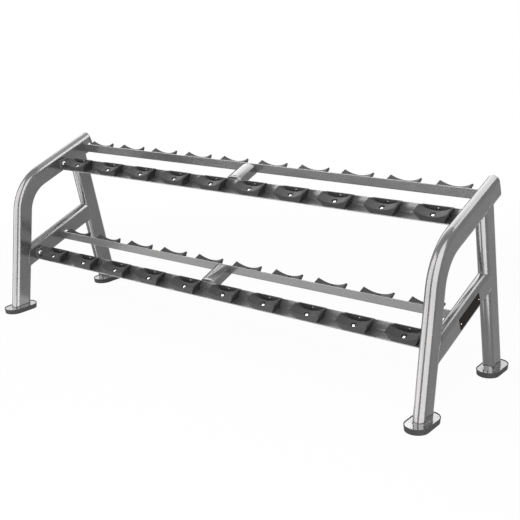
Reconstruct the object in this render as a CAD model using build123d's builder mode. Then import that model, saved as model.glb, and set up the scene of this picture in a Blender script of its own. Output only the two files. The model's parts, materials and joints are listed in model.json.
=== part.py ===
from build123d import *
from math import cos, radians, sin, sqrt, tan
import os

# Two-tier dumbbell rack. Millimetres, +Z up, front towards -Y. The origin is on the floor,
# midway between the side frames and midway between the front and the rear feet.

os.makedirs("parts", exist_ok=True)

# Stations and tiers
station_count = 10
station_pitch = 220.0
end_margin = 10.6  # from the last station's half pitch to the side frame
tier_slope = 20.45  # degrees, rising towards the back
tier_drop = 422.8  # from the upper tier down to the lower one
tier_advance = 203.5  # the lower tier stands this much further forward

# Side frames: flat-oval tube, flat faces towards the sides
tube_depth = 100.0
tube_width = 50.0
tube_wall = 3.0
foot_spacing = 599.0  # front foot to rear foot, centre to centre
front_lean = 8.2  # degrees, the front leg leans back
rear_lean = 11.6  # degrees, the rear leg leans forward
run_height = 692.8  # centre line of the top run above the origin
run_overhang = 32.6  # of the top run past its rear bolt, along the slope
bend_radius = 195.0
cap_thickness = 3.0
cap_plug_depth = 12.0
cap_plug_gap = 0.3
cap_plug_wall = 2.5

# Feet
pad_end_margin = 37.5  # of the pad past the tube's depth, at each end
pad_side_margin = 24.0
pad_height = 23.0
pad_flare = 2.5  # the pad is this much narrower all round at the floor
pad_rim = 3.2
pad_rim_round = 1.2
pad_floor = 13.5
plate_gap = 0.3
plate_thickness = 7.0
plate_edge_chamfer = 0.8

# Rails: bent steel plate
rail_thickness = 4.0
rail_bend = 4.0  # inside radius of the bend
rail_edge_round = 1.2
edge_slack = 0.1  # tolerance when a rail's free edges are picked
front_rail_tilt = 11.3  # degrees, the front seat falls back from the slope
front_rail_corner = (65.6, -38.2)  # inner corner, along and above the slope
front_seat_depth = 59.8
front_leg_height = 41.0
rear_rail_corner = (195.5, -27.5)
rear_seat_depth = 46.0
rear_leg_height = 44.5

# End plates and their bolts
end_plate_thickness = 5.0
end_plate_inset = 2.0  # back from the seat's free edge
end_plate_round = 9.0
end_plate_corner_round = 3.0
end_plate_rise = 2.0  # above the front leg's top edge
corner_relief = 6.0  # corner cut that clears the inside bend
front_bolt_place = (32.0, -7.4)  # along and above the slope
rear_bolt_place = (221.4, -5.3)
bolt_diameter = 12.0
bolt_head_diameter = 21.0
bolt_head_height = 6.6
bolt_washer_diameter = 24.0
bolt_washer_thickness = 2.5
bolt_nut_width = 18.0
bolt_nut_height = 10.0
bolt_overrun = 2.0

# Saddles
wing_height = 17.6  # tips above the slope
wing_half = 68.4  # inner edge of the wing tip
wing_edge_drop = 5.4
wing_edge_out = 5.0
saddle_base_half = 50.5
saddle_base_level = -24.0  # where the undercut sides start
bowl_floor = -3.0
saddle_front = 3.4  # front face at the wing tips
front_bowl_tilt = 2.7  # degrees, the front bowl rises towards the back
bowl_back = 45.1
block_back_lean = 3.0
rib_width = 9.0  # end ribs between the block and the flange
web_height = 14.0
web_rise = 7.5  # top of the web at the block, above the undercut's start
flange_thickness = 5.0
flange_rise = 3.0  # above the rail's top edge
rear_saddle_depth = 34.7
saddle_gap = 0.3
saddle_edge_round = 1.2

# Saddle screws
seat_screw_diameter = 8.0
seat_head_diameter = 14.0
seat_head_height = 4.4
seat_head_depth = 5.6  # bearing face below the bowl's floor
seat_recess_diameter = 24.0
seat_screw_setback = 11.8  # front screw, from the seat's free edge
seat_nut_width = 13.0
seat_nut_height = 3.2  # low nuts, which hardly show below the rails
flange_screw_diameter = 6.0
flange_head_diameter = 12.0
flange_head_height = 2.6
flange_recess_diameter = 15.0
flange_recess_depth = 2.6
flange_screw_drop = 8.8  # below the rail's top edge
flange_nut_width = 10.0
flange_nut_height = 3.2
screw_overrun = 0.4  # of the saddle screws past their nuts
hole_clearance = 0.5  # added to a screw's radius
thread_gap = 0.15  # between a screw and its nut

# Shapes that all screws and nuts share
head_edge_share = 0.25  # straight edge, of a head's height
head_flat_share = 0.44  # flat top, of a head's diameter
head_dome_share = 0.42  # dome radius, of a head's diameter
socket_share = 0.4  # key socket across its corners, of a head's diameter
socket_depth_share = 0.55  # of a head's height
tip_chamfer_share = 0.1  # of a screw's diameter
nut_chamfer_angle = 30.0

# Centre braces
brace_offset = -11.0  # the brace stands a little left of the middle
brace_width = 74.4
brace_bottom = -29.6
brace_shoulder = 8.0
brace_crown = 16.0
brace_wall = 3.0
brace_edge_round = 2.5
brace_nose_round = 10.0  # the closed front end
brace_nose_wall = 6.0

# Badge plates
badge_length = 170.0
badge_height = 50.0
badge_thickness = 1.5
badge_round = 2.0
badge_along = 227.8  # centre, along the lower slope
rivet_inset = 8.0
rivet_diameter = 3.0
rivet_head_diameter = 5.0
rivet_head_height = 1.2
rivet_gap = 0.15

# Derived sizes
frame_gap = station_count * station_pitch + 2 * end_margin
half_gap = frame_gap / 2
tube_centre = half_gap + tube_width / 2
run_reach = rear_bolt_place[0] + run_overhang
pad_length = tube_depth + 2 * pad_end_margin
pad_width = tube_width + 2 * pad_side_margin
foot_top = pad_floor + plate_thickness
slope = radians(tier_slope)
wing_out = wing_half + wing_edge_out
bowl_depth = wing_height - bowl_floor
bowl_radius = (wing_half**2 + bowl_depth**2) / (2 * bowl_depth)
station_places = [(i - (station_count - 1) / 2) * station_pitch for i in range(station_count)]
sides = {"left": -1, "right": 1}

# A tier's plane lies across the rack: x runs up the slope, y stands off it, z is the rack's +X.
tiers = {
    "upper": Plane((0, 0, run_height), (0, cos(slope), sin(slope)), (1, 0, 0)),
    "lower": Plane(
        (0, -tier_advance, run_height - tier_drop), (0, cos(slope), sin(slope)), (1, 0, 0)
    ),
}
local_tier = Plane.XY


def moved(plane, x, y, turn=0):
    """The plane shifted and then turned in its own plane."""
    return Plane(plane.location * Location((x, y, 0), (0, 0, turn)))


def across(plane, along=0):
    """Plane facing down the slope: x is the rack's +X, y is the given plane's y."""
    return Plane(plane.from_local_coords((along, 0, 0)), plane.z_dir, -plane.x_dir)


def deck(plane, height=0):
    """Plane on a seat: x is the rack's +X, y runs back along the seat, z stands off it."""
    return Plane(plane.from_local_coords((0, height, 0)), plane.z_dir, plane.y_dir)


def front_seat(tier):
    return moved(tier, *front_rail_corner, -front_rail_tilt)


def rear_seat(tier):
    return moved(tier, *rear_rail_corner)


def in_tier(plane, along, up):
    """A point of a plane drawn in a tier's own axes, as that tier's two coordinates."""
    point = plane.from_local_coords((along, up, 0))
    return (point.X, point.Y)


def save(built, name):
    built.part.label = name
    export_step(built.part, f"parts/{name}.step")


front_seat_local = front_seat(local_tier)
rear_seat_local = rear_seat(local_tier)

# Heights of the saddle bores, in the seats' own axes
front_screw_along = seat_screw_setback - front_seat_depth
rear_screw_along = saddle_gap + rear_saddle_depth / 2
tilt = radians(front_rail_tilt)
front_screw_reach = front_rail_corner[0] + front_screw_along * cos(tilt) - saddle_front
bearing_level = bowl_floor - seat_head_depth
front_level = bearing_level + front_screw_reach * tan(radians(front_bowl_tilt))
front_bearing = (front_level - front_rail_corner[1] + front_screw_along * sin(tilt)) / cos(tilt)
rear_bearing = bearing_level - rear_rail_corner[1]
flange_screw_height = front_leg_height - flange_screw_drop


# ---------------------------------------------------------------- side frames
def frame_line(x):
    """Plane of a side frame: x is the rack's +Y, y is up."""
    return Plane((x, 0, 0), (0, 1, 0), (1, 0, 0))


# Centre lines, in the side frame's plane
leg_start = -tube_depth / 2  # below the floor, trimmed off at the foot plate
front_foot = -foot_spacing / 2
rear_foot = foot_spacing / 2
knee_y = (front_foot + run_height * tan(radians(front_lean))) / (
    1 - tan(slope) * tan(radians(front_lean))
)
knee = (knee_y, run_height + knee_y * tan(slope))
tube_run = run_reach - cap_thickness
run_end = (tube_run * cos(slope), run_height + tube_run * sin(slope))


def leg_point(foot, lean, height):
    return (foot + height * tan(radians(lean)), height)


def level_on_leg(foot, lean, line_height):
    """Height where a leg's centre line meets a slope that is line_height high at the origin."""
    return (line_height + foot * tan(slope)) / (1 - tan(radians(lean)) * tan(slope))


cross_height = run_height - tier_drop + tier_advance * tan(slope)
front_cross = leg_point(front_foot, front_lean, level_on_leg(front_foot, front_lean, cross_height))
rear_cross = leg_point(rear_foot, -rear_lean, level_on_leg(rear_foot, -rear_lean, cross_height))
rear_top = leg_point(rear_foot, -rear_lean, level_on_leg(rear_foot, -rear_lean, run_height))
front_start = leg_point(front_foot, front_lean, leg_start)
rear_start = leg_point(rear_foot, -rear_lean, leg_start)


def upright_path(x):
    with BuildLine(frame_line(x)) as path:
        FilletPolyline(front_start, knee, run_end, radius=bend_radius)
    return path.line


def straight_path(x, start, end):
    with BuildLine(frame_line(x)) as path:
        Line(start, end)
    return path.line


def oval_bar(path, inset=0):
    """Solid flat-oval bar along a path, inset all round by a wall."""
    with BuildPart() as bar:
        with BuildSketch(Plane(path @ 0, (1, 0, 0), path % 0)):
            SlotOverall(tube_depth - 2 * inset, tube_width - 2 * inset, rotation=90)
        sweep(path=path)
    return bar.part


def rail_bolt_bores(tier, side):
    """Bores through the inner wall of the tube that carries a tier."""
    with BuildPart() as bores:
        with BuildSketch(tier.offset(side * half_gap)):
            with Locations(front_bolt_place, rear_bolt_place):
                Circle(bolt_diameter / 2 + hole_clearance)
        extrude(amount=side * tube_wall)
    return bores.part


for side_name, side in sides.items():
    x = side * tube_centre
    upright_line = upright_path(x)
    rear_line = straight_path(x, rear_start, rear_top)
    cross_line = straight_path(x, front_cross, rear_cross)
    upright_outer = oval_bar(upright_line)
    rear_outer = oval_bar(rear_line)

    # Front leg, bend and top run are one bent tube.
    with BuildPart() as upright:
        add(upright_outer)
        add(oval_bar(upright_line, tube_wall), mode=Mode.SUBTRACT)
        split(bisect_by=Plane.XY.offset(foot_top), keep=Keep.TOP)
        add(rail_bolt_bores(tiers["upper"], side), mode=Mode.SUBTRACT)
    save(upright, f"{side_name}_front_upright")

    # The rear leg is coped to the underside of the top run.
    with BuildPart() as rear_leg:
        add(rear_outer)
        add(oval_bar(rear_line, tube_wall), mode=Mode.SUBTRACT)
        add(upright_outer, mode=Mode.SUBTRACT)
        split(bisect_by=Plane.XY.offset(foot_top), keep=Keep.TOP)
    save(rear_leg, f"{side_name}_rear_leg")

    # The cross tube is coped to both legs and carries the lower tier and the badge.
    with BuildPart() as cross_tube:
        add(oval_bar(cross_line))
        add(oval_bar(cross_line, tube_wall), mode=Mode.SUBTRACT)
        add(upright_outer, mode=Mode.SUBTRACT)
        add(rear_outer, mode=Mode.SUBTRACT)
        add(rail_bolt_bores(tiers["lower"], side), mode=Mode.SUBTRACT)
        with BuildSketch(tiers["lower"].offset(side * (half_gap + tube_width))):
            with Locations((badge_along, 0)):
                with GridLocations(badge_length - 2 * rivet_inset, 0, 2, 1):
                    Circle(rivet_diameter / 2 + rivet_gap)
        extrude(amount=-side * tube_wall, mode=Mode.SUBTRACT)
    save(cross_tube, f"{side_name}_cross_tube")

    # End cap of the top run, with a hollow plug inside the tube
    cap_plane = Plane(
        tiers["upper"].from_local_coords((tube_run, 0, x)), (1, 0, 0), tiers["upper"].x_dir
    )
    with BuildPart() as top_cap:
        with BuildSketch(cap_plane):
            SlotOverall(tube_depth, tube_width, rotation=90)
        extrude(amount=cap_thickness)
        plug_inset = 2 * (tube_wall + cap_plug_gap)
        with BuildSketch(cap_plane):
            SlotOverall(tube_depth - plug_inset, tube_width - plug_inset, rotation=90)
            offset(amount=-cap_plug_wall, mode=Mode.SUBTRACT)
        extrude(amount=-cap_plug_depth)
        fillet(top_cap.faces().sort_by(tiers["upper"].location.x_axis)[-1].edges(), cap_thickness / 2)
    save(top_cap, f"{side_name}_top_cap")

    # Badge plate, bare
    badge_plane = tiers["lower"].offset(side * (half_gap + tube_width))
    with BuildPart() as badge:
        with BuildSketch(badge_plane):
            with Locations((badge_along, 0)):
                RectangleRounded(badge_length, badge_height, badge_round)
                with GridLocations(badge_length - 2 * rivet_inset, 0, 2, 1):
                    Circle(rivet_diameter / 2 + rivet_gap, mode=Mode.SUBTRACT)
        extrude(amount=side * badge_thickness)
    save(badge, f"{side_name}_badge_plate")

# ---------------------------------------------------------------- feet
feet = {"front": (front_foot, front_lean), "rear": (rear_foot, -rear_lean)}

for side_name, side in sides.items():
    for foot_name, (foot_y, lean) in feet.items():
        foot_plane = Plane((side * tube_centre, foot_y, 0), (0, side, 0), (0, 0, 1))

        # Rubber pad: a tapered cup with a raised rim
        with BuildPart() as pad:
            with BuildSketch(foot_plane):
                SlotOverall(pad_length - 2 * pad_flare, pad_width - 2 * pad_flare)
            with BuildSketch(foot_plane.offset(pad_height)):
                SlotOverall(pad_length, pad_width)
            loft()
            with BuildSketch(foot_plane.offset(pad_floor)):
                SlotOverall(pad_length - 2 * pad_rim, pad_width - 2 * pad_rim)
            extrude(amount=pad_height - pad_floor, mode=Mode.SUBTRACT)
            fillet(pad.faces().sort_by(Axis.Z)[-1].edges(), pad_rim_round)
        save(pad, f"{side_name}_{foot_name}_foot_pad")

        # Steel plate inside the rim, under the leg
        with BuildPart() as foot_plate:
            with BuildSketch(foot_plane.offset(pad_floor)):
                plate_inset = 2 * (pad_rim + plate_gap)
                SlotOverall(pad_length - plate_inset, pad_width - plate_inset)
            extrude(amount=plate_thickness)
            chamfer(foot_plate.faces().sort_by(Axis.Z)[-1].edges(), plate_edge_chamfer)
        save(foot_plate, f"{side_name}_{foot_name}_foot_plate")


# ---------------------------------------------------------------- rails
def bent_rail(seat, towards, depth, height, leg_bore_heights=()):
    """L-shaped plate rail; its seat runs from the corner towards the front (-1) or back (1)."""
    half = rail_thickness / 2
    with BuildPart() as rail:
        with BuildSketch(seat.offset(-half_gap)):
            with BuildLine():
                FilletPolyline(
                    (towards * depth, -half),
                    (-towards * half, -half),
                    (-towards * half, height),
                    radius=rail_bend + half,
                )
            trace(line_width=rail_thickness)
        extrude(amount=frame_gap)
        free_edges = [
            edge
            for edge in rail.edges().filter_by(Axis.X)
            if seat.to_local_coords(edge.center()).X * towards > depth - edge_slack
            or seat.to_local_coords(edge.center()).Y > height - edge_slack
        ]
        fillet(free_edges, rail_edge_round)
        with BuildSketch(deck(seat)):
            with Locations(*[(place, screw_along(towards)) for place in station_places]):
                Circle(seat_screw_diameter / 2 + hole_clearance)
        extrude(amount=-rail_thickness, mode=Mode.SUBTRACT)
        for bore_height in leg_bore_heights:
            with BuildSketch(across(seat)):
                with Locations(*[(place, bore_height) for place in station_places]):
                    Circle(flange_screw_diameter / 2 + hole_clearance)
            extrude(amount=-rail_thickness, mode=Mode.SUBTRACT)
    return rail


def screw_along(towards):
    return front_screw_along if towards < 0 else rear_screw_along


def end_plate_outline(towards, depth, height):
    """Sketch of an end plate that fills the corner between a rail's seat and leg."""
    outer = towards * (depth - end_plate_inset)
    with BuildSketch() as outline:
        with BuildLine():
            FilletPolyline(
                (towards * corner_relief, 0),
                (outer, 0),
                (outer, height),
                (0, height),
                (0, corner_relief),
                radius=[end_plate_corner_round, end_plate_round, end_plate_corner_round],
            )
            Line((0, corner_relief), (towards * corner_relief, 0))
        make_face()
    return outline.sketch


front_plate_outline = end_plate_outline(-1, front_seat_depth, front_leg_height + end_plate_rise)
rear_plate_outline = end_plate_outline(1, rear_seat_depth, rear_leg_height)

with BuildSketch() as brace_sketch:
    with BuildLine():
        Line((-brace_width / 2, brace_shoulder), (-brace_width / 2, brace_bottom))
        Line((-brace_width / 2, brace_bottom), (brace_width / 2, brace_bottom))
        Line((brace_width / 2, brace_bottom), (brace_width / 2, brace_shoulder))
        ThreePointArc(
            (brace_width / 2, brace_shoulder), (0, brace_crown), (-brace_width / 2, brace_shoulder)
        )
    make_face()
    fillet(brace_sketch.vertices(), brace_edge_round)
brace_outline = brace_sketch.sketch

for tier_name, tier in tiers.items():
    front_rail = bent_rail(
        front_seat(tier), -1, front_seat_depth, front_leg_height, [flange_screw_height]
    )
    save(front_rail, f"{tier_name}_front_rail")

    rear_rail = bent_rail(rear_seat(tier), 1, rear_seat_depth, rear_leg_height)
    save(rear_rail, f"{tier_name}_rear_rail")

    # Two end plates a side, one in each rail, flat against the side frame
    for side_name, side in sides.items():
        with BuildPart() as end_plates:
            for seat, outline in (
                (front_seat(tier), front_plate_outline),
                (rear_seat(tier), rear_plate_outline),
            ):
                with BuildSketch(seat.offset(side * (half_gap - end_plate_thickness))):
                    add(outline)
                extrude(amount=side * end_plate_thickness)
            with BuildSketch(tier.offset(side * half_gap)):
                with Locations(front_bolt_place, rear_bolt_place):
                    Circle(bolt_diameter / 2 + hole_clearance)
            extrude(amount=-side * end_plate_thickness, mode=Mode.SUBTRACT)
        save(end_plates, f"{tier_name}_{side_name}_end_plates")

# Centre brace: arched tube between the two rails' legs, with a closed round nose
brace_back = rear_rail_corner[0] - rail_thickness
leg_foot = in_tier(front_seat_local, rail_thickness, 0)


def brace_front(level):
    """Point of the front leg's back face at a height off the slope."""
    return (leg_foot[0] + (level - leg_foot[1]) * tan(tilt), level)


with BuildPart() as brace:
    with BuildSketch(across(local_tier, brace_back)):
        add(brace_outline)
    extrude(amount=brace_back)
    with BuildSketch(local_tier):
        with BuildLine():
            FilletPolyline(
                (brace_back, brace_crown),
                brace_front(brace_crown),
                brace_front(brace_bottom),
                radius=brace_nose_round,
            )
            Polyline(
                brace_front(brace_bottom), (brace_back, brace_bottom), (brace_back, brace_crown)
            )
        make_face()
    extrude(amount=brace_width, both=True, mode=Mode.INTERSECT)
    with BuildSketch(across(local_tier, brace_back)):
        add(brace_outline)
        offset(amount=-brace_wall)
    extrude(
        amount=brace_back - brace_front(brace_crown)[0] - brace_nose_wall, mode=Mode.SUBTRACT
    )

for tier_name, tier in tiers.items():
    with BuildPart() as centre_brace:
        with Locations(tier.offset(brace_offset)):
            add(brace.part)
    save(centre_brace, f"{tier_name}_centre_brace")


# ---------------------------------------------------------------- saddles
# Built once in a tier's own axes: x up the slope, y off it, z the rack's +X.
front_bowl = moved(local_tier, saddle_front, 0, front_bowl_tilt)
rear_front = rear_rail_corner[0] + saddle_gap
rear_bowl = moved(local_tier, rear_front, 0)


def saddle_bar(bowl, inset=0):
    """Bar along a bowl's plane with undercut sides and two wing tips, or their inner faces."""
    side = [
        (saddle_base_half - inset, saddle_low),
        (saddle_base_half - inset, saddle_base_level),
        (wing_out - inset, wing_height - wing_edge_drop),
        (wing_half, wing_height) if not inset else (wing_out - inset, saddle_span),
    ]
    with BuildPart() as bar:
        with BuildSketch(across(bowl)):
            with BuildLine():
                Polyline(*side, *[(-x, y) for x, y in reversed(side)], close=True)
            make_face()
        extrude(amount=saddle_span, both=True)
    return bar.part


def bowl_cut(bowl, depth):
    """Cylinder along a bowl's plane that hollows the top of a saddle as far back as depth."""
    with BuildPart() as cut:
        with BuildSketch(across(bowl, depth)):
            with Locations((0, bowl_floor + bowl_radius)):
                Circle(bowl_radius)
        extrude(amount=depth + saddle_span)
    return cut.part


def block_edges(saddle, back):
    """Edges of a saddle's block above its base and ahead of a place on the slope."""
    return [
        edge
        for edge in saddle.edges()
        if edge.center().Y > saddle_base_level + saddle_edge_round and edge.center().X < back
    ]


saddle_span = 2 * (wing_out + saddle_edge_round)
saddle_low = front_rail_corner[1] - rail_thickness
front_toe = in_tier(front_seat_local, saddle_gap - front_seat_depth, 0)
block_top = in_tier(front_bowl, bowl_back - saddle_front, wing_height)
web_front = (bowl_back + block_back_lean, saddle_base_level + web_rise)
web_back = in_tier(front_seat_local, -flange_thickness, web_height)
flange_top = front_leg_height + flange_rise
flange_edge = in_tier(front_seat_local, -flange_thickness, flange_top)

# The trough behind the front saddle's block, between its end ribs
with BuildPart() as trough:
    with BuildSketch(local_tier):
        with BuildLine():
            Polyline(
                block_top,
                web_front,
                web_back,
                flange_edge,
                in_tier(front_seat_local, -flange_thickness, saddle_span),
                (bowl_back, saddle_span),
                close=True,
            )
        make_face()
    extrude(amount=saddle_span / 2, both=True)
    add(saddle_bar(front_bowl, rib_width), mode=Mode.INTERSECT)

with BuildPart() as front_saddle:
    with BuildSketch(local_tier):
        with BuildLine():
            Polyline(
                front_toe,
                in_tier(front_bowl, 0, wing_height),
                block_top,
                flange_edge,
                in_tier(front_seat_local, 0, flange_top),
                in_tier(front_seat_local, 0, corner_relief),
                in_tier(front_seat_local, -corner_relief, 0),
                close=True,
            )
        make_face()
    extrude(amount=saddle_span / 2, both=True)
    add(saddle_bar(front_bowl), mode=Mode.INTERSECT)
    add(bowl_cut(front_bowl, web_front[0] - saddle_front), mode=Mode.SUBTRACT)
    add(trough.part, mode=Mode.SUBTRACT)
    fillet(block_edges(front_saddle, bowl_back - saddle_edge_round), saddle_edge_round)
    with BuildSketch(deck(front_seat_local)):
        with Locations((0, front_screw_along)):
            Circle(seat_screw_diameter / 2 + hole_clearance)
    extrude(amount=saddle_span, mode=Mode.SUBTRACT)
    with BuildSketch(deck(front_seat_local, front_bearing)):
        with Locations((0, front_screw_along)):
            Circle(seat_recess_diameter / 2)
    extrude(amount=saddle_span, mode=Mode.SUBTRACT)
    with BuildSketch(across(front_seat_local)):
        with Locations((0, flange_screw_height)):
            Circle(flange_screw_diameter / 2 + hole_clearance)
    extrude(amount=flange_thickness, mode=Mode.SUBTRACT)
    with BuildSketch(across(front_seat_local, flange_recess_depth - flange_thickness)):
        with Locations((0, flange_screw_height)):
            Circle(flange_recess_diameter / 2)
    extrude(amount=flange_recess_depth, mode=Mode.SUBTRACT)

# The rear saddle is a plain block behind the rear rail's leg.
rear_back = rear_front + rear_saddle_depth
rear_level = rear_rail_corner[1]

with BuildPart() as rear_saddle:
    with BuildSketch(local_tier):
        with BuildLine():
            Polyline(
                (rear_front + corner_relief, rear_level),
                (rear_back, rear_level),
                (rear_back, wing_height),
                (rear_front, wing_height),
                (rear_front, rear_level + corner_relief),
                close=True,
            )
        make_face()
    extrude(amount=saddle_span / 2, both=True)
    add(saddle_bar(rear_bowl), mode=Mode.INTERSECT)
    add(bowl_cut(rear_bowl, saddle_span), mode=Mode.SUBTRACT)
    fillet(block_edges(rear_saddle, rear_back + saddle_span), saddle_edge_round)
    with BuildSketch(deck(rear_seat_local)):
        with Locations((0, rear_screw_along)):
            Circle(seat_screw_diameter / 2 + hole_clearance)
    extrude(amount=saddle_span, mode=Mode.SUBTRACT)
    with BuildSketch(deck(rear_seat_local, rear_bearing)):
        with Locations((0, rear_screw_along)):
            Circle(seat_recess_diameter / 2)
    extrude(amount=saddle_span, mode=Mode.SUBTRACT)

for tier_name, tier in tiers.items():
    for number, place in enumerate(station_places, start=1):
        with BuildPart() as saddle_pair:
            with Locations(tier.offset(place)):
                add([front_saddle.part, rear_saddle.part])
        save(saddle_pair, f"{tier_name}_saddle_pair_{number:02d}")


# ---------------------------------------------------------------- fasteners
def button_screw(diameter, length, head_diameter, head_height):
    """Screw along Z, its head's bearing face at the origin and its shank below."""
    rim = (head_diameter / 2, head_height * head_edge_share)
    crown = (head_diameter * head_flat_share / 2, head_height)
    with BuildPart() as screw:
        with BuildSketch(Plane.XZ):
            with BuildLine():
                Polyline(crown, (0, head_height), (0, 0), (head_diameter / 2, 0), rim)
                RadiusArc(rim, crown, -head_diameter * head_dome_share)
            make_face()
        revolve(axis=Axis.Z)
        with BuildSketch(Plane.XY.offset(head_height)):
            RegularPolygon(head_diameter * socket_share / 2, 6)
        extrude(amount=-head_height * socket_depth_share, mode=Mode.SUBTRACT)
        with BuildSketch():
            Circle(diameter / 2)
        extrude(amount=-length)
        chamfer(screw.faces().sort_by(Axis.Z)[0].edges(), diameter * tip_chamfer_share)
    return screw.part


def washer(diameter, bore, thickness):
    """Washer below the origin."""
    with BuildPart() as ring:
        with BuildSketch():
            Circle(diameter / 2)
            Circle(bore / 2 + hole_clearance, mode=Mode.SUBTRACT)
        extrude(amount=-thickness)
    return ring.part


def nut(width, bore, height):
    """Hexagon nut below the origin, chamfered at its lower face."""
    corner = width / sqrt(3)
    bevel = (corner - width / 2) * tan(radians(nut_chamfer_angle))
    with BuildPart() as hexagon:
        with BuildSketch():
            RegularPolygon(width / 2, 6, major_radius=False)
            Circle(bore / 2 + thread_gap, mode=Mode.SUBTRACT)
        extrude(amount=-height)
        with BuildSketch(Plane.XZ):
            with BuildLine():
                Polyline(
                    (0, 0),
                    (corner, 0),
                    (corner, bevel - height),
                    (width / 2, -height),
                    (0, -height),
                    close=True,
                )
            make_face()
        revolve(axis=Axis.Z, mode=Mode.INTERSECT)
    return hexagon.part


def save_group(name, *sets):
    """Pieces of one kind as one node; each set is a piece and the planes it is copied to."""
    with BuildPart() as group:
        for piece, planes in sets:
            with Locations(*planes):
                add(piece)
    save(group, name)


def seat_screw_sets(make, height):
    """Seat screws' pieces for both rails; make gets the bearing height, height the place."""
    sets = []
    for seat_of, along, bearing in (
        (front_seat, front_screw_along, front_bearing),
        (rear_seat, rear_screw_along, rear_bearing),
    ):
        planes = [
            Plane(
                seat_of(tier).from_local_coords((along, height(bearing), place)),
                tier.z_dir,
                seat_of(tier).y_dir,
            )
            for tier in tiers.values()
            for place in station_places
        ]
        sets.append((make(bearing), planes))
    return sets


def seat_screw(bearing):
    length = bearing + rail_thickness + seat_nut_height + screw_overrun
    return button_screw(seat_screw_diameter, length, seat_head_diameter, seat_head_height)


def seat_nut(_):
    return nut(seat_nut_width, seat_screw_diameter, seat_nut_height)


save_group("saddle_seat_screws", *seat_screw_sets(seat_screw, lambda bearing: bearing))
save_group("saddle_seat_nuts", *seat_screw_sets(seat_nut, lambda _: -rail_thickness))


def flange_planes(along):
    """Planes of the flange screws' axes, facing down the slope, at a place along the seat."""
    return [
        Plane(
            front_seat(tier).from_local_coords((along, flange_screw_height, place)),
            tier.z_dir,
            -front_seat(tier).x_dir,
        )
        for tier in tiers.values()
        for place in station_places
    ]


flange_head_place = flange_recess_depth - flange_thickness
flange_screw_length = rail_thickness - flange_head_place + flange_nut_height + screw_overrun
flange_screw = button_screw(
    flange_screw_diameter, flange_screw_length, flange_head_diameter, flange_head_height
)
flange_nut = nut(flange_nut_width, flange_screw_diameter, flange_nut_height)
save_group("saddle_flange_screws", (flange_screw, flange_planes(flange_head_place)))
save_group("saddle_flange_nuts", (flange_nut, flange_planes(rail_thickness)))


def bolt_planes(height):
    """Planes on the side frames' inner faces at the rail bolts, facing between the frames."""
    planes = []
    for tier in tiers.values():
        for side in sides.values():
            face = tier.offset(side * half_gap)
            for place in (front_bolt_place, rear_bolt_place):
                centre = face.from_local_coords((*place, 0))
                planes.append(Plane(centre, tier.x_dir, -side * tier.z_dir).offset(height))
    return planes


bolt_grip = end_plate_thickness + bolt_washer_thickness
bolt_length = bolt_grip + tube_wall + bolt_nut_height + bolt_overrun
rail_bolt = button_screw(bolt_diameter, bolt_length, bolt_head_diameter, bolt_head_height)
bolt_washer = washer(bolt_washer_diameter, bolt_diameter, bolt_washer_thickness)
bolt_nut = nut(bolt_nut_width, bolt_diameter, bolt_nut_height)
save_group("rail_bolts", (rail_bolt, bolt_planes(bolt_grip)))
save_group("rail_bolt_washers", (bolt_washer, bolt_planes(bolt_grip)))
save_group("rail_bolt_nuts", (bolt_nut, bolt_planes(-tube_wall)))

# Badge rivets: a low domed head and a shank into the cross tube
shank = rivet_diameter / 2
rivet_end = -badge_thickness - tube_wall
with BuildPart() as rivet:
    with BuildSketch(Plane.XZ):
        with BuildLine():
            Polyline((0, rivet_head_height), (0, rivet_end), (shank, rivet_end), (shank, 0))
            Line((shank, 0), (rivet_head_diameter / 2, 0))
            RadiusArc(
                (rivet_head_diameter / 2, 0),
                (0, rivet_head_height),
                -(rivet_head_diameter**2 / 4 + rivet_head_height**2) / (2 * rivet_head_height),
            )
        make_face()
    revolve(axis=Axis.Z)

rivet_planes = []
for side in sides.values():
    face = tiers["lower"].offset(side * (half_gap + tube_width + badge_thickness))
    for end in (-1, 1):
        along = badge_along + end * (badge_length / 2 - rivet_inset)
        rivet_planes.append(
            Plane(face.from_local_coords((along, 0, 0)), face.x_dir, side * face.z_dir)
        )
save_group("badge_rivets", (rivet.part, rivet_planes))
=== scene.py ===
import json
from math import cos, pi, radians, sin, sqrt, tan

import bmesh
import bpy
from mathutils import Matrix, Vector


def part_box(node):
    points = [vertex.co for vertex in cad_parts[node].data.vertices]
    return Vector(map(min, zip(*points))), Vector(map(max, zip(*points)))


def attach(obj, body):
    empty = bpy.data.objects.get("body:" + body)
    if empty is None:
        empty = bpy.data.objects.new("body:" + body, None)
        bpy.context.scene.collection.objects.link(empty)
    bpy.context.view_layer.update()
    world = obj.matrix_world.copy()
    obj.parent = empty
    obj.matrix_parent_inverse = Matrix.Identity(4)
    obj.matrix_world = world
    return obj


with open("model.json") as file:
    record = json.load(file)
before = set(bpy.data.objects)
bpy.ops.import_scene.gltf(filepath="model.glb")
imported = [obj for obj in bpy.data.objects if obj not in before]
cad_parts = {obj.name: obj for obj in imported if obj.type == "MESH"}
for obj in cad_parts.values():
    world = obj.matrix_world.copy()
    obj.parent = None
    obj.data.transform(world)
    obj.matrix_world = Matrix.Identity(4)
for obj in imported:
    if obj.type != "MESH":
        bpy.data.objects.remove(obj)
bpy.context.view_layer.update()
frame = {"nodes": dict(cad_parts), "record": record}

scene = bpy.context.scene
print("rack loaded:", len(frame["nodes"]), "parts")


def millimetres(length):  # a length in mm as Blender's metres
    return length / 1000


def perMillimetre(size):  # scale of a pattern whose features are this many mm across
    return 1000 / size


def linear(hexColour):  # an sRGB hex value as the linear colour that nodes take
    parts = [int(hexColour[place:place + 2], 16) / 255 for place in (1, 3, 5)]
    curve = [part / 12.92 if part <= 0.04045 else ((part + 0.055) / 1.055) ** 2.4 for part in parts]
    return curve + [1]


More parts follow.
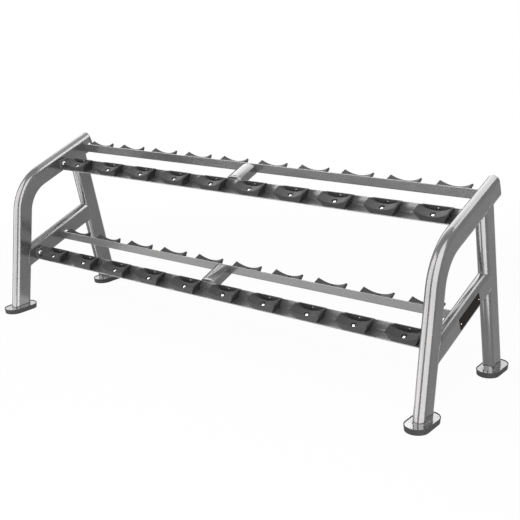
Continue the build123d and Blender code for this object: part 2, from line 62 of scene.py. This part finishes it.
def addNode(tree, kind, settings, links=None):  # keys name sockets or the node's own settings
    made = tree.nodes.new(kind)
    for key, value in settings.items():
        if key == "stops":
            ramp = made.color_ramp
            ramp.elements[0].position, ramp.elements[0].color = value[0][0], linear(value[0][1])
            ramp.elements[1].position, ramp.elements[1].color = value[-1][0], linear(value[-1][1])
            for place, colour in value[1:-1]:
                ramp.elements.new(place).color = linear(colour)
        elif isinstance(key, int) or key in made.inputs:
            made.inputs[key].default_value = value
        else:
            setattr(made, key, value)
    for key, socket in (links or {}).items():
        tree.links.new(socket, made.inputs[key])
    return made


def newMaterial(name):
    material = bpy.data.materials.new(name)
    material.use_nodes = True
    material.node_tree.nodes.clear()
    return material, material.node_tree


# Camera
viewpoint = {
    "azimuth": 38.20,  # degrees from straight ahead, towards the right end
    "elevation": 16.49,
    "roll": -1.61,
    "place": (2.5445, -3.0074, 1.5281),
    "lens": 63.56,
    "sensor": 36,
}

cameraData = bpy.data.cameras.new("viewCamera")
cameraData.lens = viewpoint["lens"]
cameraData.sensor_width = viewpoint["sensor"]
camera = bpy.data.objects.new("viewCamera", cameraData)
scene.collection.objects.link(camera)
camera.matrix_world = (
    Matrix.Translation(viewpoint["place"])
    @ Matrix.Rotation(radians(viewpoint["azimuth"]), 4, "Z")
    @ Matrix.Rotation(radians(90 - viewpoint["elevation"]), 4, "X")
    @ Matrix.Rotation(radians(viewpoint["roll"]), 4, "Z")
)
scene.camera = camera
print("camera placed")


# Finishes
noiseRange = (0.3, 0.7)  # where most of a noise pattern's values lie
mouldedTones = (0.32, 0.68)
mouldedEdges = (0.8, 0.98)


def roughnessRange(tree, look, pattern):  # a pattern's values spread over a look's roughness
    return addNode(
        tree,
        "ShaderNodeMapRange",
        {
            "From Min": noiseRange[0],
            "From Max": noiseRange[1],
            "To Min": look["roughness"][0],
            "To Max": look["roughness"][1],
        },
        {"Value": pattern.outputs["Fac"]},
    )


def edgeMask(tree, radius, low, high):  # white where a rounded normal departs from the true one
    rounded = addNode(tree, "ShaderNodeBevel", {"samples": 4, "Radius": millimetres(radius)})
    true = addNode(tree, "ShaderNodeNewGeometry", {})
    match = addNode(
        tree,
        "ShaderNodeVectorMath",
        {"operation": "DOT_PRODUCT"},
        {0: rounded.outputs["Normal"], 1: true.outputs["Normal"]},
    )
    return addNode(
        tree,
        "ShaderNodeMapRange",
        {"From Min": high, "From Max": low, "To Min": 0.0, "To Max": 1.0},
        {"Value": match.outputs["Value"]},
    )


silverCoat = {
    "colour": "#6E6D6D",
    "shade": "#676666",
    "flakeColour": "#7C7B7A",
    "edgeColour": "#868583",
    "metallic": 0.46,  # set together with the gloss panels' levels
    "grazing": "#C8C8C8",  # holds the gloss at low angles below a bare metal's
    "roughness": (0.14, 0.19),
    "coat": 0.12,
    "coatRoughness": 0.06,
    "flake": 1.1,  # mm, far coarser than real flakes so that they show
    "flakeFrom": 0.82,  # cells above this value glitter
    "flakeShare": 0.5,
    "edgeWidth": 1.2,  # mm
    "edgeRange": (0.8, 0.97),
    "edgeShare": 0.35,
    "peel": 6.0,  # mm between the waves of the sprayed and baked skin
    "peelHeight": 0.0025,  # mm
    "drift": 140,  # mm, slow change of tone along a tube
}

# The rails' coat is the tubes' with a lighter grey and a duller gloss. The lighter grey is painted
# light: it lifts the rails and end plates out of the shade and dark reflections between the saddles.
litRailCoat = {
    **silverCoat,
    # painted light: lighter than the tubes' grey of the same powder coat
    "colour": "#787777",
    "shade": "#706F6F",
    "metallic": 0.34,
    "roughness": (0.22, 0.3),
    "coat": 0.05,
}


# Metallic powder coat, sprayed and baked: a soft mirror with a faint orange peel and glitter.
def powderCoatedSteel(name, look):
    material, tree = newMaterial(name)
    place = addNode(tree, "ShaderNodeTexCoord", {}).outputs["Object"]
    drift = addNode(
        tree,
        "ShaderNodeTexNoise",
        {"Scale": perMillimetre(look["drift"]), "Detail": 3.0},
        {"Vector": place},
    )
    tone = addNode(
        tree,
        "ShaderNodeValToRGB",
        {"stops": [(noiseRange[0], look["shade"]), (noiseRange[1], look["colour"])]},
        {"Fac": drift.outputs["Fac"]},
    )
    flakes = addNode(
        tree, "ShaderNodeTexVoronoi", {"Scale": perMillimetre(look["flake"])}, {"Vector": place}
    )
    glitter = addNode(
        tree,
        "ShaderNodeMapRange",
        {
            "From Min": look["flakeFrom"],
            "From Max": 1.0,
            "To Min": 0.0,
            "To Max": look["flakeShare"],
        },
        {"Value": flakes.outputs["Color"]},
    )
    flaked = addNode(
        tree,
        "ShaderNodeMix",
        {"data_type": "RGBA", 7: linear(look["flakeColour"])},
        {0: glitter.outputs["Result"], 6: tone.outputs["Color"]},
    )
    edges = edgeMask(tree, look["edgeWidth"], *look["edgeRange"])
    thin = addNode(
        tree,
        "ShaderNodeMath",
        {"operation": "MULTIPLY", 1: look["edgeShare"]},
        {0: edges.outputs["Result"]},
    )
    worn = addNode(
        tree,
        "ShaderNodeMix",
        {"data_type": "RGBA", 7: linear(look["edgeColour"])},
        {0: thin.outputs["Value"], 6: flaked.outputs[2]},
    )
    rough = roughnessRange(tree, look, drift)
    peel = addNode(
        tree,
        "ShaderNodeTexNoise",
        {"Scale": perMillimetre(look["peel"]), "Detail": 1.5, "Roughness": 0.45},
        {"Vector": place},
    )
    skin = addNode(
        tree,
        "ShaderNodeBump",
        {"Strength": 1.0, "Distance": millimetres(look["peelHeight"])},
        {"Height": peel.outputs["Fac"]},
    )
    shader = addNode(
        tree,
        "ShaderNodeBsdfPrincipled",
        {
            "Metallic": look["metallic"],
            "Specular Tint": linear(look["grazing"]),
            "Coat Weight": look["coat"],
            "Coat Roughness": look["coatRoughness"],
        },
        {
            "Base Color": worn.outputs[2],
            "Roughness": rough.outputs["Result"],
            "Normal": skin.outputs["Normal"],
        },
    )
    addNode(tree, "ShaderNodeOutputMaterial", {}, {"Surface": shader.outputs["BSDF"]})
    return material


# Moulded plastics and rubber share one build: grain, a slow drift of tone, paler rubbed edges.
def mouldedSkin(name, look):
    material, tree = newMaterial(name)
    place = addNode(tree, "ShaderNodeTexCoord", {}).outputs["Object"]
    drift = addNode(
        tree,
        "ShaderNodeTexNoise",
        {"Scale": perMillimetre(look["drift"]), "Detail": 4.0},
        {"Vector": place},
    )
    tone = addNode(
        tree,
        "ShaderNodeValToRGB",
        {"stops": [(mouldedTones[0], look["shade"]), (mouldedTones[1], look["colour"])]},
        {"Fac": drift.outputs["Fac"]},
    )
    edges = edgeMask(tree, look["edgeWidth"], *mouldedEdges)
    rubbed = addNode(
        tree,
        "ShaderNodeMath",
        {"operation": "MULTIPLY", 1: look["edgeShare"]},
        {0: edges.outputs["Result"]},
    )
    worn = addNode(
        tree,
        "ShaderNodeMix",
        {"data_type": "RGBA", 7: linear(look["edgeColour"])},
        {0: rubbed.outputs["Value"], 6: tone.outputs["Color"]},
    )
    grain = addNode(
        tree,
        "ShaderNodeTexNoise",
        {"Scale": perMillimetre(look["grain"]), "Detail": 2.0, "Roughness": 0.6},
        {"Vector": place},
    )
    rough = roughnessRange(tree, look, grain)
    skin = addNode(
        tree,
        "ShaderNodeBump",
        {"Strength": 1.0, "Distance": millimetres(look["grainHeight"])},
        {"Height": grain.outputs["Fac"]},
    )
    shader = addNode(
        tree,
        "ShaderNodeBsdfPrincipled",
        {"IOR": look["ior"], "Specular IOR Level": look["specular"]},
        {
            "Base Color": worn.outputs[2],
            "Roughness": rough.outputs["Result"],
            "Normal": skin.outputs["Normal"],
        },
    )
    addNode(tree, "ShaderNodeOutputMaterial", {}, {"Surface": shader.outputs["BSDF"]})
    return material


# Glass-filled nylon, injection moulded: deep grey-black, matt, with edges rubbed paler.
saddleNylon = {
    "colour": "#3B3B3C",
    "shade": "#353536",
    "edgeColour": "#555556",
    "edgeShare": 0.4,
    "edgeWidth": 1.4,
    "roughness": (0.46, 0.62),
    "ior": 1.53,
    "specular": 0.12,
    "grain": 1.3,  # mm, drawn coarser than real mould grain so that it shows
    "grainHeight": 0.03,
    "drift": 60,
}

# Natural rubber, compression moulded: dull black with a dusty bloom.
footRubber = {
    "colour": "#252526",
    "shade": "#1B1B1B",
    "edgeColour": "#3A3938",
    "edgeShare": 0.45,
    "edgeWidth": 1.6,
    "roughness": (0.6, 0.8),
    "ior": 1.52,
    "specular": 0.3,
    "grain": 1.8,  # mm
    "grainHeight": 0.04,
    "drift": 35,
}

# Polypropylene end cap, injection moulded: satin black.
capPolypropylene = {
    "colour": "#2A2A2B",
    "shade": "#232324",
    "edgeColour": "#444445",
    "edgeShare": 0.4,
    "edgeWidth": 0.8,
    "roughness": (0.36, 0.48),
    "ior": 1.49,
    "specular": 0.35,
    "grain": 0.9,  # mm
    "grainHeight": 0.015,
    "drift": 40,
}

# Black anodised aluminium label blank: satin, nearly flat, with a bright cut edge.
badgeAnodised = {
    "colour": "#17130F",
    "shade": "#110E0C",
    "edgeColour": "#4A4642",
    "edgeShare": 0.5,
    "edgeWidth": 0.5,
    "roughness": (0.4, 0.5),
    "ior": 1.6,
    "specular": 0.02,
    "grain": 0.8,  # mm
    "grainHeight": 0.006,
    "drift": 45,
}


# Bare plated or polished steel: a metal with fine turning or polishing marks.
def bareMetal(name, look):
    material, tree = newMaterial(name)
    place = addNode(tree, "ShaderNodeTexCoord", {}).outputs["Object"]
    drift = addNode(
        tree,
        "ShaderNodeTexNoise",
        {"Scale": perMillimetre(look["drift"]), "Detail": 5.0},
        {"Vector": place},
    )
    tone = addNode(
        tree,
        "ShaderNodeValToRGB",
        {"stops": [(noiseRange[0], look["shade"]), (noiseRange[1], look["colour"])]},
        {"Fac": drift.outputs["Fac"]},
    )
    stretched = addNode(
        tree, "ShaderNodeMapping", {"Scale": look["markStretch"]}, {"Vector": place}
    )
    marks = addNode(
        tree,
        "ShaderNodeTexNoise",
        {"Scale": perMillimetre(look["mark"]), "Detail": 3.0},
        {"Vector": stretched.outputs["Vector"]},
    )
    rough = roughnessRange(tree, look, marks)
    skin = addNode(
        tree,
        "ShaderNodeBump",
        {"Strength": 1.0, "Distance": millimetres(look["markHeight"])},
        {"Height": marks.outputs["Fac"]},
    )
    shader = addNode(
        tree,
        "ShaderNodeBsdfPrincipled",
        {"Metallic": 1.0},
        {
            "Base Color": tone.outputs["Color"],
            "Roughness": rough.outputs["Result"],
            "Normal": skin.outputs["Normal"],
        },
    )
    addNode(tree, "ShaderNodeOutputMaterial", {}, {"Surface": shader.outputs["BSDF"]})
    return material


# Nickel-chrome on steel, buffed: a mirror with fine lengthwise wipe marks.
footPlateChrome = {
    "colour": "#C8C8C8",
    "shade": "#BEBEBF",
    "roughness": (0.1, 0.17),
    "mark": 1.2,  # mm
    "markStretch": (1.0, 0.08, 1.0),
    "markHeight": 0.0008,
    "drift": 50,
}

# Bright zinc on button heads: pale, a little milky.
screwZinc = {
    "colour": "#E2E2E2",
    "shade": "#C8C8C9",
    "roughness": (0.16, 0.28),
    "mark": 0.8,  # mm
    "markStretch": (1.0, 1.0, 1.0),
    "markHeight": 0.004,
    "drift": 8,
}

# Zinc on the flange screws, drawn dark grey: painted shade of the recess behind the bowl that they
# sit in.
shadedFlangeScrewZinc = {
    "colour": "#626262",
    "shade": "#525252",
    "roughness": (0.36, 0.5),
    "mark": 0.9,  # mm
    "markStretch": (1.0, 1.0, 1.0),
    "markHeight": 0.006,
    "drift": 8,
}

# Zinc on forged nuts: satin grey with a blue cast.
nutZinc = {
    "colour": "#9FA1A3",
    "shade": "#8B8D90",
    "roughness": (0.28, 0.42),
    "mark": 1.1,  # mm
    "markStretch": (1.0, 1.0, 1.0),
    "markHeight": 0.008,
    "drift": 9,
}

steelFinish = powderCoatedSteel("powderCoatedTube", silverCoat)
litRailFinish = powderCoatedSteel("powderCoatedSheetLit", litRailCoat)
zincFinish = bareMetal("satinZinc", nutZinc)
# the flange screws' dark grey is painted shade
shadedScrewFinish = bareMetal("zincPaintedShade", shadedFlangeScrewZinc)
slotFinishes = {
    "painted_steel": steelFinish,
    "saddle_polymer": mouldedSkin("glassFilledNylon", saddleNylon),
    "foot_rubber": mouldedSkin("mouldedRubber", footRubber),
    "cap_plastic": mouldedSkin("satinPolypropylene", capPolypropylene),
    "badge_black": mouldedSkin("blackAnodisedAluminium", badgeAnodised),
    "polished_plate": bareMetal("buffedChrome", footPlateChrome),
    "bright_fastener": bareMetal("brightZincScrews", screwZinc),
    "zinc_fastener": zincFinish,
}
# Rails and end plates take the lighter copy of the tube coat, whose lighter grey is painted light.
nodeFinishes = {
    "upper_front_rail": litRailFinish,
    "upper_rear_rail": litRailFinish,
    "lower_front_rail": litRailFinish,
    "lower_rear_rail": litRailFinish,
    "upper_left_end_plates": litRailFinish,
    "upper_right_end_plates": litRailFinish,
    "lower_left_end_plates": litRailFinish,
    "lower_right_end_plates": litRailFinish,
    "rail_bolts": zincFinish,
    "rail_bolt_washers": zincFinish,
    # dark grey painted for the shade of the saddle recess
    "saddle_flange_screws": shadedScrewFinish,
}

for part in frame["record"]["subparts"]:
    name = part["node"]
    finish = nodeFinishes.get(name, slotFinishes[part["material_slot"]])
    materials = frame["nodes"][name].data.materials
    for index in range(len(materials)):
        materials[index] = finish
print("finishes on all parts")


# Weld beads
sideTube = {  # flat-oval tube of the side frames, mm and degrees
    "depth": 100,
    "width": 50,
    "frontLean": 8.2,
    "rearLean": 11.6,
    "slope": 20.45,
    "runHeight": 692.8,  # centre line of the top run above the origin
    "crossHeight": 345.9,  # centre line of the cross tube above the origin
}

bead = {  # mm
    "radius": 1.1,
    "ripple": 2.2,  # from one ripple of the weld pool to the next
    "rippleDepth": 0.07,  # of the radius
    "sides": 2,
    "weldGap": 0.001,  # points closer than this are one
    "turnStep": 6,  # degrees between points round the tube's edges
}


def evenly(points, step):  # the same closed line with points a step apart
    spans = [(points[i], points[(i + 1) % len(points)]) for i in range(len(points))]
    length = sum((b - a).length for a, b in spans)
    count = 2 * max(4, round(length / step))
    stride, walked, even = length / count, 0.0, []
    for a, b in spans:
        span = (b - a).length
        while len(even) < count and len(even) * stride < walked + span:
            even.append(a.lerp(b, (len(even) * stride - walked) / span))
        walked += span
    return even


def layBead(name, points, settings):  # a rippled bead along a closed line
    line = bpy.data.curves.new(name, "CURVE")
    line.dimensions = "3D"
    line.bevel_depth = millimetres(settings["radius"])
    line.bevel_resolution = settings["sides"]
    line.use_fill_caps = False
    even = evenly(points, millimetres(settings["ripple"]))
    spline = line.splines.new("POLY")
    spline.points.add(len(even) - 1)
    for number, (knot, point) in enumerate(zip(spline.points, even)):
        knot.co = (*point, 1)
        knot.radius = 1 - settings["rippleDepth"] * (number % 2)
    spline.use_cyclic_u = True
    drawn = bpy.data.objects.new(name + "Line", line)
    scene.collection.objects.link(drawn)
    bpy.context.view_layer.update()
    evaluated = drawn.evaluated_get(bpy.context.evaluated_depsgraph_get())
    mesh = bpy.data.meshes.new_from_object(evaluated)
    mesh.name = name
    bpy.data.objects.remove(drawn)
    shape = bmesh.new()
    shape.from_mesh(mesh)
    bmesh.ops.remove_doubles(shape, verts=shape.verts, dist=millimetres(settings["weldGap"]))
    bmesh.ops.recalc_face_normals(shape, faces=shape.faces)
    shape.to_mesh(mesh)
    shape.free()
    mesh.materials.clear()
    mesh.materials.append(steelFinish)
    mesh.polygons.foreach_set("use_smooth", [True] * len(mesh.polygons))
    weld = bpy.data.objects.new(name, mesh)
    scene.collection.objects.link(weld)
    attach(weld, "root")


def ovalSection():  # (across the depth, across the width) round the tube's outline, m
    radius = millimetres(sideTube["width"]) / 2
    straight = millimetres(sideTube["depth"]) / 2 - radius
    halfTurn = [radians(angle) for angle in range(-90, 91, bead["turnStep"])]
    front = [(straight + radius * cos(a), radius * sin(a)) for a in halfTurn]
    return front + [(-w, -x) for w, x in front]


def roundReach(x):  # from a tube's centre line to its rounded edge, at a distance across its width
    radius = millimetres(sideTube["width"]) / 2
    return millimetres(sideTube["depth"]) / 2 - radius + sqrt(max(0, radius**2 - x**2))


def copeLine(start, along, other, facing, reach, centre):  # where a tube's end meets a surface
    along, facing = Vector(along).normalized(), Vector(facing).normalized()
    across = Vector((-along.y, along.x))
    points = []
    for w, x in ovalSection():
        corner = Vector(start) + w * across
        travel = (reach(x) - (corner - Vector(other)).dot(facing)) / along.dot(facing)
        place = corner + travel * along
        points.append(Vector((centre + x, place.x, place.y)))
    return points


leanFront = tan(radians(sideTube["frontLean"]))
leanRear = tan(radians(sideTube["rearLean"]))
rise = tan(radians(sideTube["slope"]))
runStart = (0, millimetres(sideTube["runHeight"]))
crossStart = (0, millimetres(sideTube["crossHeight"]))

for side in ("left", "right"):
    low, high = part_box(f"{side}_rear_leg")
    centre = (low.x + high.x) / 2
    frontLow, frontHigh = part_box(f"{side}_front_foot_plate")
    rearLow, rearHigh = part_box(f"{side}_rear_foot_plate")
    frontFoot = ((frontLow.y + frontHigh.y) / 2, 0)
    rearFoot = ((rearLow.y + rearHigh.y) / 2, 0)
    plateTop = (0, frontHigh.z)
    joints = {
        "FrontFoot": (frontFoot, (leanFront, 1), plateTop, (0, 1), lambda x: 0),
        "RearFoot": (rearFoot, (-leanRear, 1), plateTop, (0, 1), lambda x: 0),
        "RearTop": (rearFoot, (-leanRear, 1), runStart, (rise, -1), roundReach),
        "CrossFront": (crossStart, (1, rise), frontFoot, (1, -leanFront), roundReach),
        "CrossRear": (crossStart, (1, rise), rearFoot, (-1, -leanRear), roundReach),
    }
    for jointName, (start, along, other, facing, reach) in joints.items():
        line = copeLine(start, along, other, facing, reach, centre)
        layBead(f"{side}Weld{jointName}", line, bead)
print("weld beads laid")


# Floor, world and lamps
floorLook = {
    "colour": "#F1F1F0",
    "glow": 0.95,  # share of plain white that keeps the ground pale behind the rack
    "near": 1.7,  # m from the middle, where the shadow starts to fade out
    "far": 3.4,
    "size": 60,
}


def paleFloor(look):
    shape = bmesh.new()
    bmesh.ops.create_grid(shape, x_segments=1, y_segments=1, size=look["size"])
    mesh = bpy.data.meshes.new("floor")
    shape.to_mesh(mesh)
    shape.free()
    floor = bpy.data.objects.new("floor", mesh)
    scene.collection.objects.link(floor)
    material, tree = newMaterial("paleFloor")
    place = addNode(tree, "ShaderNodeTexCoord", {}).outputs["Object"]
    distance = addNode(tree, "ShaderNodeVectorMath", {"operation": "LENGTH"}, {0: place})
    fade = addNode(
        tree,
        "ShaderNodeMapRange",
        {
            "interpolation_type": "SMOOTHSTEP",
            "From Min": look["near"],
            "From Max": look["far"],
            "To Min": look["glow"],
            "To Max": 1.0,
        },
        {"Value": distance.outputs["Value"]},
    )
    rays = addNode(tree, "ShaderNodeLightPath", {})
    seen = addNode(
        tree,
        "ShaderNodeMath",
        {"operation": "MAXIMUM"},
        {0: rays.outputs["Is Camera Ray"], 1: rays.outputs["Is Glossy Ray"]},
    )
    seenThrough = addNode(
        tree,
        "ShaderNodeMath",
        {"operation": "MAXIMUM"},
        {0: seen.outputs["Value"], 1: rays.outputs["Is Transmission Ray"]},
    )
    share = addNode(
        tree,
        "ShaderNodeMath",
        {"operation": "MULTIPLY"},
        {0: fade.outputs["Result"], 1: seenThrough.outputs["Value"]},
    )
    matt = addNode(tree, "ShaderNodeBsdfDiffuse", {"Color": linear(look["colour"])})
    glow = addNode(tree, "ShaderNodeEmission", {"Color": (1, 1, 1, 1), "Strength": 1.0})
    mixed = addNode(
        tree,
        "ShaderNodeMixShader",
        {},
        {0: share.outputs["Value"], 1: matt.outputs["BSDF"], 2: glow.outputs["Emission"]},
    )
    addNode(tree, "ShaderNodeOutputMaterial", {}, {"Surface": mixed.outputs["Shader"]})
    mesh.materials.append(material)
    return floor


floor = paleFloor(floorLook)
floor.visible_glossy = False  # gloss shows the white room there, as on a lightbox

worldLook = {"seen": 1.0, "fill": 0.5}
world = bpy.data.worlds.new("whiteRoom")
world.use_nodes = True
tree = world.node_tree
tree.nodes.clear()
rays = addNode(tree, "ShaderNodeLightPath", {})
seen = addNode(
    tree,
    "ShaderNodeMath",
    {"operation": "MAXIMUM"},
    {0: rays.outputs["Is Camera Ray"], 1: rays.outputs["Is Glossy Ray"]},
)
seenThrough = addNode(
    tree,
    "ShaderNodeMath",
    {"operation": "MAXIMUM"},
    {0: seen.outputs["Value"], 1: rays.outputs["Is Transmission Ray"]},
)
fill = addNode(
    tree, "ShaderNodeBackground", {"Color": (1, 1, 1, 1), "Strength": worldLook["fill"]}
)
white = addNode(
    tree, "ShaderNodeBackground", {"Color": (1, 1, 1, 1), "Strength": worldLook["seen"]}
)
mixed = addNode(
    tree,
    "ShaderNodeMixShader",
    {},
    {
        0: seenThrough.outputs["Value"],
        1: fill.outputs["Background"],
        2: white.outputs["Background"],
    },
)
addNode(tree, "ShaderNodeOutputWorld", {}, {"Surface": mixed.outputs["Shader"]})
scene.world = world

# A gloss lamp at level 1 shows as plain white in a mirror. The brighter ones draw the tubes' stripes.
lamps = {
    "overheadKey": {
        "from": (-0.6, -1.2, 3.2),
        "to": (0, 0, 0.4),
        "size": (3.2, 2.6),
        "level": 1.6,
        "seenIn": "matt",
    },
    "frontFill": {
        "from": (2.0, -3.2, 2.2),
        "to": (0, 0, 0.4),
        "size": (1.6, 1.6),
        "level": 8.0,
        "seenIn": "matt",
    },
    "ceilingFringe": {
        "from": (-1.8, 0.62, 2.9),
        "to": (-1.8, 0.62, 0),
        "size": (5.6, 0.76),
        "level": 1.1,
        "seenIn": "gloss",
    },
    "ceilingPanel": {
        "from": (-0.95, 2.6, 2.9),
        "to": (-0.95, 2.6, 0),
        "size": (7.3, 3.2),
        "level": 5.1,
        "seenIn": "gloss",
    },
    "leftPanel": {
        "from": (-1.8, -2.71, 1.9),
        "to": (-0.37, 0.13, 1.9),
        "size": (5.27, 6.2),
        "level": 5.4,
        "seenIn": "gloss",
    },
    "lowPanel": {
        "from": (-0.18, -3.53, -2.1),
        "to": (1.25, -0.69, -2.1),
        "size": (1.62, 1.8),
        "level": 4.9,
        "seenIn": "gloss",
    },
    "rightPanel": {
        "from": (2.62, -1.15, 1.9),
        "to": (1.24, -0.1, 1.9),
        "size": (2.88, 6.2),
        "level": 6.0,
        "seenIn": "gloss",
    },
    "backCard": {
        "from": (0.5, 0.98, 1.45),
        "to": (-1, 0.98, 1.45),
        "size": (0.75, 1.5),
        "level": 5.0,
        "seenIn": "gloss",
    },
    "floorCard": {
        "from": (-0.1, -0.8, -0.03),
        "to": (-0.1, -0.8, 1),
        "size": (2.0, 1.4),
        "level": 1.5,
        "seenIn": "gloss",
    },
}

for name, lamp in lamps.items():
    light = bpy.data.lights.new(name, "AREA")
    light.shape = "RECTANGLE"
    light.size, light.size_y = lamp["size"]
    light.energy = lamp["level"] * pi * light.size * light.size_y
    hung = bpy.data.objects.new(name, light)
    scene.collection.objects.link(hung)
    aim = (Vector(lamp["to"]) - Vector(lamp["from"])).to_track_quat("-Z", "Y")
    hung.matrix_world = Matrix.Translation(lamp["from"]) @ aim.to_matrix().to_4x4()
    hung.visible_camera = False
    hung.visible_diffuse = lamp["seenIn"] == "matt"
    hung.visible_glossy = lamp["seenIn"] == "gloss"
scene.view_settings.view_transform = "Standard"
print("floor, room and lamps set")
